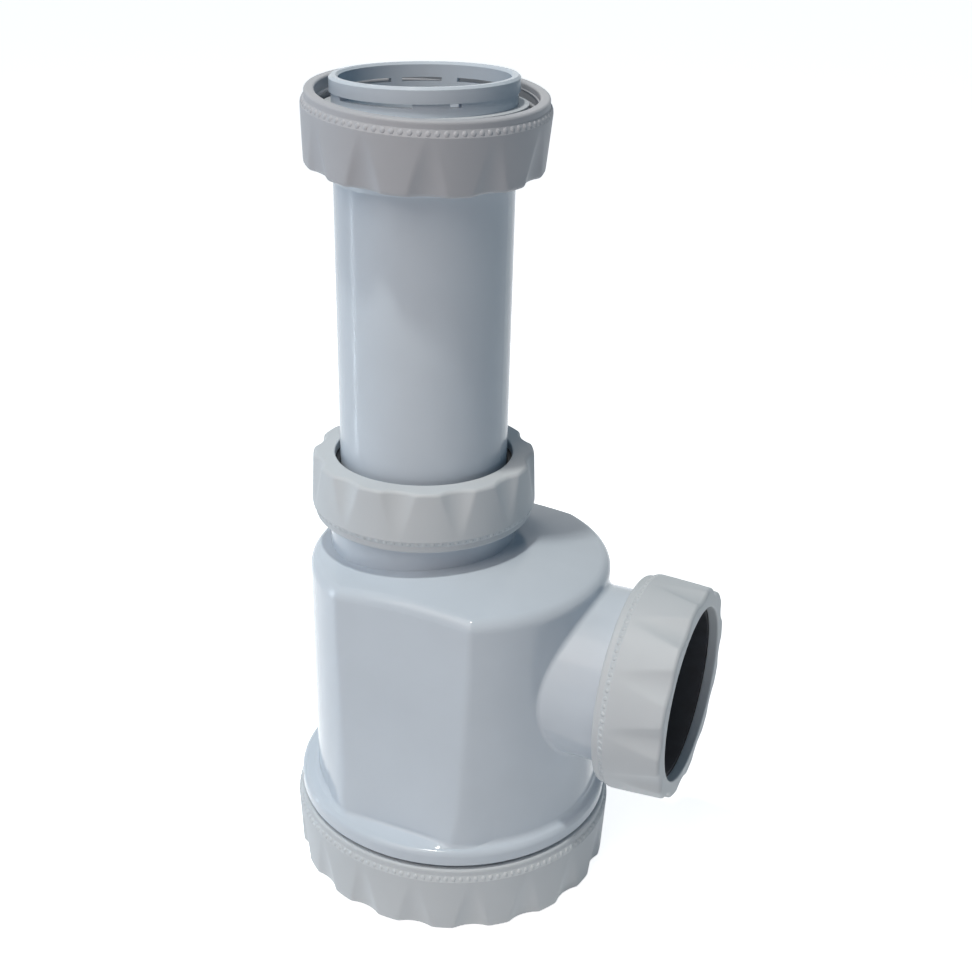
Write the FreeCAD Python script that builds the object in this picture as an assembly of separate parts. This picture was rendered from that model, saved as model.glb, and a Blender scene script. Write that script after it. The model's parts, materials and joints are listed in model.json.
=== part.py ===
"""Bottle trap for a sink or basin, with a telescopic inlet tube and a side outlet.

Millimetres, +Z up. The origin is the centre of the face that the base cap stands on,
+X runs along the outlet, and the inlet stands off centre, on the side away from the outlet.
"""
import FreeCAD, Part
import math
import os

Vector = FreeCAD.Vector

# Clearances that the fits share
SLIDE_CLEARANCE = 0.25
THREAD_CLEARANCE = 0.15
SEAT_GAP = 0.05

# Pipe size that the trap takes
PIPE_RADIUS = 20.0

# Inlet tube
INLET_OFFSET = 9.0
TUBE_WALL = 2.0
TUBE_TOP = 196.3
TUBE_LENGTH = 128.0
TUBE_LEAD_IN = 1.2
SPIGOT_WALL = 1.6
SPIGOT_HEIGHT = 5.9
LIP_PROUD = 0.4
LIP_HEIGHT = 3.2
LIP_CHAMFER = 0.5
COLLAR_PROUD = 2.6
COLLAR_THICKNESS = 2.2
COLLAR_NOTCH_COUNT = 8
COLLAR_NOTCH_WIDTH = 2.4
COLLAR_NOTCH_DEPTH = 1.1
RETAINING_BEAD_HEIGHT = 1.4
RETAINING_BEAD_RISE = 0.45
SPIGOT_SLOT_HEIGHT = 0.9
SPIGOT_SLOT_DEGREES = ((-125, -71), (-49, -42), (13, 50), (58, 93), (104, 132), (140, 174), (182, 219))

# Flat washer on the tube's collar
WASHER_THICKNESS = 2.0
WASHER_WIDTH = 2.2

# Union nut at the inlet, which hangs askew until its hole all but touches the tube
INLET_THREAD_MARGIN = 3.95
INLET_NUT_WALL = 3.05
INLET_NUT_HEIGHT = 15.4
INLET_NUT_WEB = 3.0
INLET_NUT_DROP = 17.0
INLET_NUT_TOUCH_GAP = 0.035
INLET_NUT_LEAN_TOWARDS_DEGREES = -36.0
INLET_NUT_SCALLOPS = 12
INLET_NUT_FIRST_DEGREES = -62.5

# Compression nut on the bottle's neck
NECK_NUT_WALL = 3.2
NECK_NUT_HEIGHT = 14.9
NECK_NUT_MOUTH_GAP = 1.3
NECK_NUT_WEB = 2.4
NECK_NUT_LIFT = 5.9
NECK_NUT_SCALLOPS = 12
NECK_NUT_FIRST_DEGREES = -46.8

# Neck of the bottle
NECK_THREAD_MARGIN = 3.9
NECK_THREAD_DEPTH = 1.2
NECK_MOUTH_WALL = 0.9
NECK_COLLAR_STEP = 1.1
NECK_COLLAR_GAP = 0.3

# Body of the bottle, with a low dome that slopes from a plateau down to its rim
BODY_MARGIN = 16.7
BODY_SHIFT = 1.2
FLAT_INSET = 4.3
FLAT_EDGE_ROUNDING = 3.0
BODY_HEIGHT = 70.5
DOME_DROP = 4.3
DOME_SLOPE_WIDTH = 17.3
DOME_ROUNDING = 25.0
BODY_TOP_ROUNDING = 3.0
WALL = 2.8
DIP_TUBE_WALL = 2.0
DIP_TUBE_GAP = 8.5
FLANGE_PROUD = 3.3
FLANGE_THICKNESS = 4.4
FLANGE_ROUNDING = 1.6
FOOT_ROUNDING = 1.5
SKIRT_THREAD_DEPTH = 1.2
SKIRT_WALL = 1.7

# Outlet branch
OUTLET_HEIGHT = 61.0
OUTLET_REACH = 61.9
BRANCH_MARGIN = 1.3
BRANCH_BORE_STEP = 2.0
BRANCH_ROUNDING = 1.2
OUTLET_SOCKET_CLEARANCE = 0.2
OUTLET_SOCKET_DEPTH = 19.0
OUTLET_THREAD_MARGIN = 2.6
OUTLET_THREAD_DEPTH = 1.0
OUTLET_MOUTH_WALL = 0.6

# Compression nut on the outlet
OUTLET_NUT_WALL = 3.6
OUTLET_NUT_HEIGHT = 16.2
OUTLET_NUT_MOUTH_GAP = 1.1
OUTLET_NUT_WEB = 2.4
OUTLET_NUT_SCALLOPS = 12
OUTLET_NUT_FIRST_DEGREES = 3.0

# Rubber compression seals
SEAL_HEAD = 3.0
SEAL_NOSE = 4.0
SEAL_LIP = 0.4

# Base cap
CAP_PROUD = 1.2
CAP_WALL = 2.85
CAP_HEIGHT = 18.5
CAP_GAP = 0.7
CAP_WEB = 3.2
CAP_SCALLOPS = 18
CAP_FIRST_DEGREES = -58.3

# Flat seal in the base cap
BASE_SEAL_THICKNESS = 2.0
BASE_SEAL_WIDTH = 3.6

# Grip on the nuts and the cap
GRIP_DRAFT = 0.6
GRIP_DEPTH = 1.3
GRIP_WIDE_RADIUS = 9.5
GRIP_NARROW_RADIUS = 4.5
GRIP_MARGIN = 3.6
GRIP_OVERRUN = 0.25
RIM_CHAMFER_WIDTH = 1.3
RIM_CHAMFER_HEIGHT = 2.3
EDGE_CHAMFER = 0.6

# Closeness at which two places count as the same
POINT_TOLERANCE = 1e-6
SURFACE_TOLERANCE = 1e-4


def lean_limit(hole, web, shaft):
    """Angle in radians at which a web of that hole and thickness touches the shaft through it."""
    reach = math.hypot(hole, web / 2)
    return math.acos(shaft / reach) - math.atan2(web / 2, hole)


# Radii that follow from the pipe size, from the tube outwards
GUIDE_RADIUS = PIPE_RADIUS + SLIDE_CLEARANCE
TUBE_BORE_RADIUS = PIPE_RADIUS - TUBE_WALL
SPIGOT_BORE_RADIUS = PIPE_RADIUS - SPIGOT_WALL
LIP_RADIUS = PIPE_RADIUS + LIP_PROUD
COLLAR_RADIUS = PIPE_RADIUS + COLLAR_PROUD
INLET_NUT_THREAD_RADIUS = PIPE_RADIUS + INLET_THREAD_MARGIN
INLET_NUT_RADIUS = INLET_NUT_THREAD_RADIUS + INLET_NUT_WALL
NECK_THREAD_RADIUS = PIPE_RADIUS + NECK_THREAD_MARGIN
NECK_ROOT_RADIUS = NECK_THREAD_RADIUS - NECK_THREAD_DEPTH
NECK_SEAT_RADIUS = NECK_ROOT_RADIUS - NECK_MOUTH_WALL
NECK_COLLAR_RADIUS = NECK_THREAD_RADIUS - NECK_COLLAR_STEP
NECK_NUT_RADIUS = NECK_THREAD_RADIUS + NECK_NUT_WALL
NECK_NUT_MOUTH_RADIUS = PIPE_RADIUS + NECK_NUT_MOUTH_GAP
DIP_TUBE_RADIUS = GUIDE_RADIUS + DIP_TUBE_WALL
BODY_RADIUS = PIPE_RADIUS + BODY_MARGIN
FLAT_HALF_WIDTH = BODY_RADIUS - FLAT_INSET
FLANGE_RADIUS = BODY_RADIUS + FLANGE_PROUD
CAP_RADIUS = FLANGE_RADIUS + CAP_PROUD
CAP_BORE_RADIUS = CAP_RADIUS - CAP_WALL
SKIRT_THREAD_RADIUS = CAP_BORE_RADIUS - THREAD_CLEARANCE
SKIRT_ROOT_RADIUS = SKIRT_THREAD_RADIUS - SKIRT_THREAD_DEPTH
SKIRT_BORE_RADIUS = SKIRT_ROOT_RADIUS - SKIRT_WALL
BRANCH_RADIUS = PIPE_RADIUS + BRANCH_MARGIN
BRANCH_BORE_RADIUS = PIPE_RADIUS - BRANCH_BORE_STEP
SOCKET_RADIUS = PIPE_RADIUS + OUTLET_SOCKET_CLEARANCE
OUTLET_THREAD_RADIUS = PIPE_RADIUS + OUTLET_THREAD_MARGIN
OUTLET_ROOT_RADIUS = OUTLET_THREAD_RADIUS - OUTLET_THREAD_DEPTH
OUTLET_SEAT_RADIUS = OUTLET_ROOT_RADIUS - OUTLET_MOUTH_WALL
OUTLET_NUT_RADIUS = OUTLET_THREAD_RADIUS + OUTLET_NUT_WALL
OUTLET_NUT_MOUTH_RADIUS = PIPE_RADIUS + OUTLET_NUT_MOUTH_GAP

# Places that follow from the sizes above
FLANGE_BOTTOM = CAP_HEIGHT + CAP_GAP
BODY_TOP = FLANGE_BOTTOM + BODY_HEIGHT
BODY_RIM = BODY_TOP - DOME_DROP
FLANGE_TOP = FLANGE_BOTTOM + FLANGE_THICKNESS
NECK_NUT_BOTTOM = BODY_TOP + NECK_NUT_LIFT
NECK_NUT_TOP = NECK_NUT_BOTTOM + NECK_NUT_HEIGHT
NECK_SEAL_TOP = NECK_NUT_TOP - NECK_NUT_WEB - SEAT_GAP
NECK_TOP = NECK_SEAL_TOP - SEAL_HEAD - SEAT_GAP
SKIRT_BOTTOM = CAP_WEB + BASE_SEAL_THICKNESS + 2 * SEAT_GAP
DIP_TUBE_BOTTOM = CAP_WEB + DIP_TUBE_GAP
TUBE_BOTTOM = TUBE_TOP - TUBE_LENGTH
COLLAR_TOP = TUBE_TOP - SPIGOT_HEIGHT - WASHER_THICKNESS - SEAT_GAP
INLET_NUT_PIVOT = TUBE_TOP - INLET_NUT_DROP
INLET_NUT_LEAN = lean_limit(GUIDE_RADIUS, INLET_NUT_WEB, PIPE_RADIUS + INLET_NUT_TOUCH_GAP)
RETAINING_BEAD_TOP = (
    INLET_NUT_PIVOT
    - INLET_NUT_WEB / 2 * math.cos(INLET_NUT_LEAN)
    - GUIDE_RADIUS * math.sin(INLET_NUT_LEAN)
    - SEAT_GAP
)
OUTLET_SEAL_FACE = OUTLET_REACH - OUTLET_NUT_WEB - SEAT_GAP
BRANCH_END = OUTLET_SEAL_FACE - SEAL_HEAD - SEAT_GAP
SOCKET_BOTTOM = BRANCH_END - OUTLET_SOCKET_DEPTH
BRANCH_SHOULDER = OUTLET_REACH - OUTLET_NUT_HEIGHT

INLET_AXIS = Vector(-INLET_OFFSET, 0, 0)
UP = Vector(0, 0, 1)


def corner_arc(before, here, after, rounding):
    """Start, middle and end of the tangent arc that rounds one corner."""
    to_before = (before - here).normalize()
    to_after = (after - here).normalize()
    half_angle = to_before.getAngle(to_after) / 2
    setback = rounding / math.tan(half_angle)
    inwards = (to_before + to_after).normalize()
    middle = here + inwards * (rounding / math.sin(half_angle) - rounding)
    return here + to_before * setback, middle, here + to_after * setback


def outline(corners):
    """Closed wire in the XZ plane through (radius, height, rounding) corners."""
    points = [Vector(corner[0], 0, corner[1]) for corner in corners]
    roundings = [corner[2] if len(corner) > 2 else 0 for corner in corners]
    arcs = []
    for index, here in enumerate(points):
        before = points[index - 1]
        after = points[(index + 1) % len(points)]
        if roundings[index] > 0:
            arcs.append(corner_arc(before, here, after, roundings[index]))
        else:
            arcs.append((here, None, here))
    edges = []
    for index, (start, middle, end) in enumerate(arcs):
        if middle is not None:
            edges.append(Part.Arc(start, middle, end).toShape())
        following = arcs[(index + 1) % len(arcs)][0]
        if end.distanceToPoint(following) > POINT_TOLERANCE:
            edges.append(Part.LineSegment(end, following).toShape())
    return Part.Wire(edges)


def turned(corners):
    """Solid of revolution about Z from (radius, height, rounding) corners."""
    return Part.Face(outline(corners)).revolve(Vector(0, 0, 0), UP, 360)


def tube(outer, inner, low, high):
    """Plain ring about Z."""
    return turned([(inner, low), (outer, low), (outer, high), (inner, high)])


def along_inlet(shape):
    """Copy of a shape modelled about Z, moved onto the inlet axis."""
    return shape.translated(INLET_AXIS)


def along_outlet(shape):
    """Copy of a shape modelled about Z, turned so that its +Z runs out along the outlet."""
    turn = FreeCAD.Placement(Vector(0, 0, OUTLET_HEIGHT), FreeCAD.Rotation(Vector(0, 1, 0), 90))
    placed = shape.copy()
    placed.Placement = turn.multiply(placed.Placement)
    return placed


def flipped(shape, height):
    """Copy of a shape turned end for end, its origin moved to the given height."""
    turn = FreeCAD.Placement(Vector(0, 0, height), FreeCAD.Rotation(Vector(1, 0, 0), 180))
    placed = shape.copy()
    placed.Placement = turn.multiply(placed.Placement)
    return placed


def around(cutter, count, first_degrees):
    """Copies of a cutter, evenly spaced about Z from the first angle."""
    copies = []
    for index in range(count):
        turned_copy = cutter.copy()
        turned_copy.rotate(Vector(0, 0, 0), UP, first_degrees + index * 360 / count)
        copies.append(turned_copy)
    return copies


def grip_cutter(outer, height):
    """Tapering cone that cuts one grip scallop, deepest at height 0 and fading out upwards."""
    low = Vector(outer - GRIP_DRAFT - GRIP_DEPTH + GRIP_WIDE_RADIUS, 0, 0)
    high = Vector(outer + GRIP_NARROW_RADIUS, 0, height - GRIP_MARGIN)
    along = high - low
    taper = (GRIP_WIDE_RADIUS - GRIP_NARROW_RADIUS) * GRIP_OVERRUN
    return Part.makeCone(
        GRIP_WIDE_RADIUS + taper,
        GRIP_NARROW_RADIUS - taper,
        along.Length * (1 + 2 * GRIP_OVERRUN),
        low - along * GRIP_OVERRUN,
        along,
    )


def grip_ring(blank, outer, height, count, first_degrees):
    """Blank with its ring of grip scallops cut away."""
    return blank.cut(around(grip_cutter(outer, height), count, first_degrees))


def nut_blank(outer, height, thread_radius, mouth, web):
    """Open nut about Z before its grip is cut: closed end at height 0, bead rim at the top."""
    foot = outer - GRIP_DRAFT
    return turned([
        (mouth, 0),
        (foot - EDGE_CHAMFER, 0),
        (foot, EDGE_CHAMFER),
        (outer, height - RIM_CHAMFER_HEIGHT),
        (outer - RIM_CHAMFER_WIDTH, height),
        (thread_radius, height),
        (thread_radius, web),
        (mouth, web),
    ])


def make_inlet_nut():
    blank = nut_blank(
        INLET_NUT_RADIUS, INLET_NUT_HEIGHT, INLET_NUT_THREAD_RADIUS, GUIDE_RADIUS, INLET_NUT_WEB)
    nut = grip_ring(
        blank, INLET_NUT_RADIUS, INLET_NUT_HEIGHT, INLET_NUT_SCALLOPS, INLET_NUT_FIRST_DEGREES)
    return hung_askew(nut.translated(Vector(0, 0, -INLET_NUT_WEB / 2)))


def hung_askew(shape):
    """Copy of a shape modelled about Z, leaned over and moved to the middle of the nut's web."""
    towards = math.radians(INLET_NUT_LEAN_TOWARDS_DEGREES)
    level_axis = Vector(-math.sin(towards), math.cos(towards), 0)
    lean = FreeCAD.Rotation(level_axis, math.degrees(INLET_NUT_LEAN))
    turn = FreeCAD.Placement(INLET_AXIS + UP * INLET_NUT_PIVOT, lean)
    placed = shape.copy()
    placed.Placement = turn.multiply(placed.Placement)
    return placed


def make_neck_nut():
    bore = NECK_THREAD_RADIUS + THREAD_CLEARANCE
    blank = nut_blank(NECK_NUT_RADIUS, NECK_NUT_HEIGHT, bore, NECK_NUT_MOUTH_RADIUS, NECK_NUT_WEB)
    nut = grip_ring(
        blank, NECK_NUT_RADIUS, NECK_NUT_HEIGHT, NECK_NUT_SCALLOPS, -NECK_NUT_FIRST_DEGREES)
    return along_inlet(flipped(nut, NECK_NUT_TOP))


def make_outlet_nut():
    bore = OUTLET_THREAD_RADIUS + THREAD_CLEARANCE
    blank = nut_blank(
        OUTLET_NUT_RADIUS, OUTLET_NUT_HEIGHT, bore, OUTLET_NUT_MOUTH_RADIUS, OUTLET_NUT_WEB)
    nut = grip_ring(
        blank, OUTLET_NUT_RADIUS, OUTLET_NUT_HEIGHT, OUTLET_NUT_SCALLOPS, OUTLET_NUT_FIRST_DEGREES)
    return along_outlet(flipped(nut, OUTLET_REACH))


def make_base_cap():
    """Closed cap: flat underneath, grip scallops at the foot and the bead rim at the top."""
    outer = CAP_RADIUS
    foot = outer - GRIP_DRAFT
    bore = CAP_BORE_RADIUS
    blank = turned([
        (0, 0),
        (foot - EDGE_CHAMFER, 0),
        (foot, EDGE_CHAMFER),
        (outer, CAP_HEIGHT - RIM_CHAMFER_HEIGHT),
        (outer - RIM_CHAMFER_WIDTH, CAP_HEIGHT),
        (bore, CAP_HEIGHT),
        (bore, CAP_WEB),
        (0, CAP_WEB),
    ])
    return grip_ring(blank, outer, CAP_HEIGHT, CAP_SCALLOPS, CAP_FIRST_DEGREES)


def make_base_seal():
    outer = SKIRT_THREAD_RADIUS
    low = CAP_WEB + SEAT_GAP
    return tube(outer, outer - BASE_SEAL_WIDTH, low, low + BASE_SEAL_THICKNESS)


def seal(bore, head_radius, seat_radius):
    """Rubber seal about Z: flat head above height 0 and a tapered nose below it."""
    return turned([
        (bore, SEAL_HEAD),
        (bore, -SEAL_NOSE),
        (bore + SEAL_LIP, -SEAL_NOSE),
        (seat_radius, 0),
        (head_radius, 0),
        (head_radius, SEAL_HEAD),
    ])


def seal_seat(bore, seat_radius):
    """Cone cut into a mouth for the seal's nose, about Z with the mouth at height 0."""
    lip = bore + SEAL_LIP + SEAT_GAP
    return turned([
        (0, -SEAL_NOSE - SEAT_GAP),
        (lip, -SEAL_NOSE - SEAT_GAP),
        (seat_radius + SEAT_GAP, 0),
        (seat_radius + SEAT_GAP, SEAL_HEAD),
        (0, SEAL_HEAD),
    ])


def make_neck_seal():
    ring = seal(GUIDE_RADIUS, NECK_THREAD_RADIUS, NECK_SEAT_RADIUS)
    return along_inlet(ring.translated(Vector(0, 0, NECK_TOP + SEAT_GAP)))


def make_outlet_seal():
    ring = seal(SOCKET_RADIUS, OUTLET_THREAD_RADIUS, OUTLET_SEAT_RADIUS)
    return along_outlet(ring.translated(Vector(0, 0, BRANCH_END + SEAT_GAP)))


def collar_notches(collar_low):
    """Cutters for the small notches round the edge of the tube's collar."""
    notch = Part.makeBox(2 * COLLAR_NOTCH_DEPTH, COLLAR_NOTCH_WIDTH, 2 * COLLAR_THICKNESS)
    notch.translate(Vector(
        COLLAR_RADIUS - COLLAR_NOTCH_DEPTH, -COLLAR_NOTCH_WIDTH / 2, collar_low - COLLAR_THICKNESS / 2))
    return around(notch, COLLAR_NOTCH_COUNT, 0)


def spigot_slots(lip_low):
    """Cutters for the long slots through the spigot's wall, just under its lip."""
    slots = []
    for first, last in SPIGOT_SLOT_DEGREES:
        slot = Part.makeCylinder(
            LIP_RADIUS, SPIGOT_SLOT_HEIGHT, Vector(0, 0, lip_low - SPIGOT_SLOT_HEIGHT), UP, last - first)
        slots.append(slot.rotated(Vector(), UP, first))
    return slots


def make_inlet_tube():
    """Telescopic tube with its collar, its lipped spigot and the bead that keeps the nut on."""
    spigot_low = TUBE_TOP - SPIGOT_HEIGHT
    lip_low = TUBE_TOP - LIP_HEIGHT
    collar_low = COLLAR_TOP - COLLAR_THICKNESS
    bead_high = RETAINING_BEAD_TOP
    body = turned([
        (TUBE_BORE_RADIUS, TUBE_BOTTOM),
        (PIPE_RADIUS - TUBE_LEAD_IN / 2, TUBE_BOTTOM),
        (PIPE_RADIUS, TUBE_BOTTOM + TUBE_LEAD_IN),
        (PIPE_RADIUS, bead_high - RETAINING_BEAD_HEIGHT),
        (PIPE_RADIUS + RETAINING_BEAD_RISE, bead_high),
        (PIPE_RADIUS, bead_high),
        (PIPE_RADIUS, collar_low),
        (COLLAR_RADIUS, collar_low),
        (COLLAR_RADIUS, COLLAR_TOP),
        (PIPE_RADIUS, COLLAR_TOP),
        (PIPE_RADIUS, lip_low),
        (LIP_RADIUS, lip_low),
        (LIP_RADIUS, TUBE_TOP - LIP_CHAMFER),
        (LIP_RADIUS - LIP_CHAMFER, TUBE_TOP),
        (SPIGOT_BORE_RADIUS + LIP_CHAMFER, TUBE_TOP),
        (SPIGOT_BORE_RADIUS, TUBE_TOP - LIP_CHAMFER),
        (SPIGOT_BORE_RADIUS, spigot_low),
        (TUBE_BORE_RADIUS, collar_low),
    ])
    return along_inlet(body.cut(collar_notches(collar_low) + spigot_slots(lip_low)))


def make_inlet_washer():
    inner = PIPE_RADIUS + SEAT_GAP
    low = COLLAR_TOP + SEAT_GAP
    high = low + WASHER_THICKNESS
    return along_inlet(tube(inner + WASHER_WIDTH, inner, low, high))


def between_flats(solid, half_width):
    """Part of a solid between the flats at the front and back of the body."""
    box = solid.BoundBox
    slab = Part.makeBox(
        box.XLength, 2 * half_width, box.ZLength, Vector(box.XMin, -half_width, box.ZMin))
    return solid.common(slab)


def domed_drum():
    """Outside of the body: an upright drum under its low dome, with the two flats."""
    drum = turned([
        (0, FLANGE_BOTTOM),
        (BODY_RADIUS, FLANGE_BOTTOM),
        (BODY_RADIUS, BODY_RIM),
        (BODY_RADIUS - DOME_SLOPE_WIDTH, BODY_TOP, DOME_ROUNDING),
        (0, BODY_TOP),
    ])
    return between_flats(drum.translated(Vector(BODY_SHIFT, 0, 0)), FLAT_HALF_WIDTH)


def is_upright(edge):
    """True for a straight edge along Z."""
    start, end = edge.Vertexes[0].Point, edge.Vertexes[-1].Point
    along = end - start
    return along.Length > POINT_TOLERANCE and abs(abs(along.z) - along.Length) < POINT_TOLERANCE


def flat_edges(solid, half_width):
    """Upright edges where a flat meets the round of the body."""
    return [edge for edge in solid.Edges
            if is_upright(edge) and abs(abs(edge.Vertexes[0].Y) - half_width) < SURFACE_TOLERANCE]


def rim_edges(solid):
    """Edges all round the top of the body's side, where the dome begins."""
    found = []
    for edge in solid.Edges:
        middle = edge.valueAt((edge.FirstParameter + edge.LastParameter) / 2)
        out = math.hypot(middle.x - BODY_SHIFT, middle.y)
        above_side = edge.BoundBox.ZMin > BODY_RIM - SURFACE_TOLERANCE
        if above_side and out > FLAT_HALF_WIDTH - FLAT_EDGE_ROUNDING:
            found.append(edge)
    return found


def foot_edges(solid):
    """Edges where the body's side stands on the flange."""
    found = []
    for edge in solid.Edges:
        box = edge.BoundBox
        level = abs(box.ZMin - FLANGE_TOP) < SURFACE_TOLERANCE and box.ZLength < SURFACE_TOLERANCE
        middle = edge.valueAt((edge.FirstParameter + edge.LastParameter) / 2)
        out = math.hypot(middle.x - BODY_SHIFT, middle.y)
        if level and out < BODY_RADIUS + SURFACE_TOLERANCE:
            found.append(edge)
    return found


def body_with_branch():
    """Outside of the bottle's body and its outlet branch, blended where they meet."""
    body = domed_drum()
    body = body.makeFillet(FLAT_EDGE_ROUNDING, flat_edges(body, FLAT_HALF_WIDTH))
    body = body.makeFillet(BODY_TOP_ROUNDING, rim_edges(body))
    branch = along_outlet(Part.makeCylinder(BRANCH_RADIUS, BRANCH_END))
    joined = body.fuse(branch)
    return joined.makeFillet(BRANCH_ROUNDING, meeting_edges(joined))


def meeting_edges(joined):
    """Edges where the outlet branch comes out of the round side of the body."""
    found = []
    for edge in joined.Edges:
        middle = edge.valueAt((edge.FirstParameter + edge.LastParameter) / 2)
        from_branch_axis = math.hypot(middle.y, middle.z - OUTLET_HEIGHT)
        from_body_axis = math.hypot(middle.x - BODY_SHIFT, middle.y)
        on_branch = abs(from_branch_axis - BRANCH_RADIUS) < SURFACE_TOLERANCE
        on_body = abs(from_body_axis - BODY_RADIUS) < SURFACE_TOLERANCE
        if on_branch and on_body:
            found.append(edge)
    return found


def bottle_outside():
    """Everything outside on the bottle: body, branch, flange, skirt, neck and thread roots."""
    flange = turned([
        (0, FLANGE_BOTTOM),
        (FLANGE_RADIUS - EDGE_CHAMFER, FLANGE_BOTTOM),
        (FLANGE_RADIUS, FLANGE_BOTTOM + EDGE_CHAMFER),
        (FLANGE_RADIUS, FLANGE_TOP, FLANGE_ROUNDING),
        (0, FLANGE_TOP),
    ])
    body = body_with_branch().fuse(flange)
    body = body.makeFillet(FOOT_ROUNDING, foot_edges(body))
    skirt = Part.makeCylinder(
        SKIRT_ROOT_RADIUS, FLANGE_BOTTOM - SKIRT_BOTTOM, Vector(0, 0, SKIRT_BOTTOM))
    neck_low = BODY_RIM - WALL
    collar = Part.makeCylinder(
        NECK_COLLAR_RADIUS, NECK_NUT_BOTTOM - NECK_COLLAR_GAP - neck_low, INLET_AXIS + UP * neck_low)
    neck = Part.makeCylinder(NECK_ROOT_RADIUS, NECK_TOP - neck_low, INLET_AXIS + UP * neck_low)
    outlet_thread = along_outlet(Part.makeCylinder(
        OUTLET_ROOT_RADIUS, BRANCH_END - BRANCH_SHOULDER, Vector(0, 0, BRANCH_SHOULDER)))
    return body.fuse([skirt, collar, neck, outlet_thread])


def chamber():
    """Hollow of the bottle, open downwards through the skirt."""
    inner_bottom = FLANGE_BOTTOM + WALL
    drum = Part.makeCylinder(
        BODY_RADIUS - WALL, BODY_RIM - WALL - inner_bottom, Vector(BODY_SHIFT, 0, inner_bottom))
    mouth = Part.makeCylinder(
        SKIRT_BORE_RADIUS, inner_bottom - SKIRT_BOTTOM, Vector(0, 0, SKIRT_BOTTOM))
    return between_flats(drum, FLAT_HALF_WIDTH - WALL).fuse(mouth)


def outlet_passage():
    """Bore of the outlet branch, its wider pipe socket and the seat for its seal."""
    bore = Part.makeCylinder(BRANCH_BORE_RADIUS, BRANCH_END)
    socket = Part.makeCylinder(SOCKET_RADIUS, BRANCH_END - SOCKET_BOTTOM, Vector(0, 0, SOCKET_BOTTOM))
    seat = seal_seat(SOCKET_RADIUS, OUTLET_SEAT_RADIUS).translated(Vector(0, 0, BRANCH_END))
    return along_outlet(bore.fuse([socket, seat]))


def make_bottle():
    """Bottle in one moulding: body, neck, dip tube, outlet branch, flange and threaded skirt."""
    shell = bottle_outside().cut([chamber(), outlet_passage()])
    dip_tube = along_inlet(Part.makeCylinder(
        DIP_TUBE_RADIUS, BODY_RIM - WALL / 2 - DIP_TUBE_BOTTOM, Vector(0, 0, DIP_TUBE_BOTTOM)))
    guide = along_inlet(Part.makeCylinder(
        GUIDE_RADIUS, NECK_TOP + SEAL_HEAD - DIP_TUBE_BOTTOM, Vector(0, 0, DIP_TUBE_BOTTOM)))
    seat = along_inlet(
        seal_seat(GUIDE_RADIUS, NECK_SEAT_RADIUS).translated(Vector(0, 0, NECK_TOP)))
    return shell.fuse(dip_tube).cut([guide, seat]).removeSplitter()


PARTS = {
    "bottle": make_bottle,
    "inlet_tube": make_inlet_tube,
    "inlet_washer": make_inlet_washer,
    "inlet_nut": make_inlet_nut,
    "neck_nut": make_neck_nut,
    "neck_seal": make_neck_seal,
    "outlet_nut": make_outlet_nut,
    "outlet_seal": make_outlet_seal,
    "base_cap": make_base_cap,
    "base_seal": make_base_seal,
}

os.makedirs("parts", exist_ok=True)
for name, make in PARTS.items():
    shape = make()
    solids = shape.Solids
    print(name, "solids", len(solids), "valid", shape.isValid(), "volume", round(shape.Volume, 1))
    single = solids[0] if len(solids) == 1 else Part.makeCompound(solids)
    single.exportStep("parts/" + name + ".step")
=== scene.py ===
"""Dresses the drain trap: soft-edged nuts and cap, drafted flats, bead bands, screw threads,
plastics, rubber and a pale studio.
"""

import json
import math
from typing import NamedTuple

import bmesh
import bpy
import numpy as np
from mathutils import Matrix, Vector


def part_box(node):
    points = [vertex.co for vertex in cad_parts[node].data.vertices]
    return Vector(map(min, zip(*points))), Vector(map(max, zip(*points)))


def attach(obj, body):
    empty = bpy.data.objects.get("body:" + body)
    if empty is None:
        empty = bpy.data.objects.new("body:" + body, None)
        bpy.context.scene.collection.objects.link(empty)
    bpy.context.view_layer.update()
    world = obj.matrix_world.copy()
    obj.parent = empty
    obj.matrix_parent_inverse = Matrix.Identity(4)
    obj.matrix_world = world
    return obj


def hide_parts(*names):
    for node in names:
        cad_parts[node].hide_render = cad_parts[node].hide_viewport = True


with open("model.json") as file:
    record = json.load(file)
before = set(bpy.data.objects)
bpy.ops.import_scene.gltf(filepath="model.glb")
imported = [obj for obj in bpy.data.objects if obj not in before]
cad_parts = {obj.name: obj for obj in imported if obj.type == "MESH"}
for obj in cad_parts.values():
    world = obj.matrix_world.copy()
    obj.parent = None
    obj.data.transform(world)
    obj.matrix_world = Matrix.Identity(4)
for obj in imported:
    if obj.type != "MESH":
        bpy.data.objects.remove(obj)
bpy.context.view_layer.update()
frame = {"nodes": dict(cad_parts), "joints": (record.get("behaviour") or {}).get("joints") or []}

bl_info = {
    "name": "Drain trap dressing",
    "version": (1, 0, 0),
    "blender": (4, 5, 0),
    "location": "3D View > Sidebar > Drain Trap",
    "description": "Nuts, cap, flats, bead bands, threads, seals and plastics of a drain trap",
    "category": "Object",
}

MM = 0.001
INLET_X = (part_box("neck_nut")[0].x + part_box("neck_nut")[1].x) / 2
OUTLET_Z = (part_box("outlet_nut")[0].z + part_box("outlet_nut")[1].z) / 2
OUTLET_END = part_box("outlet_nut")[1].x
NECK_NUT_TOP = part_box("neck_nut")[1].z
INLET_NUT_JOINT = next(joint for joint in frame["joints"] if joint["name"] == "inlet_nut_spin")
TURN_OVER = Matrix.Rotation(math.pi, 4, "X")
OUTWARDS = Matrix.Rotation(math.pi / 2, 4, "Y")

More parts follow.
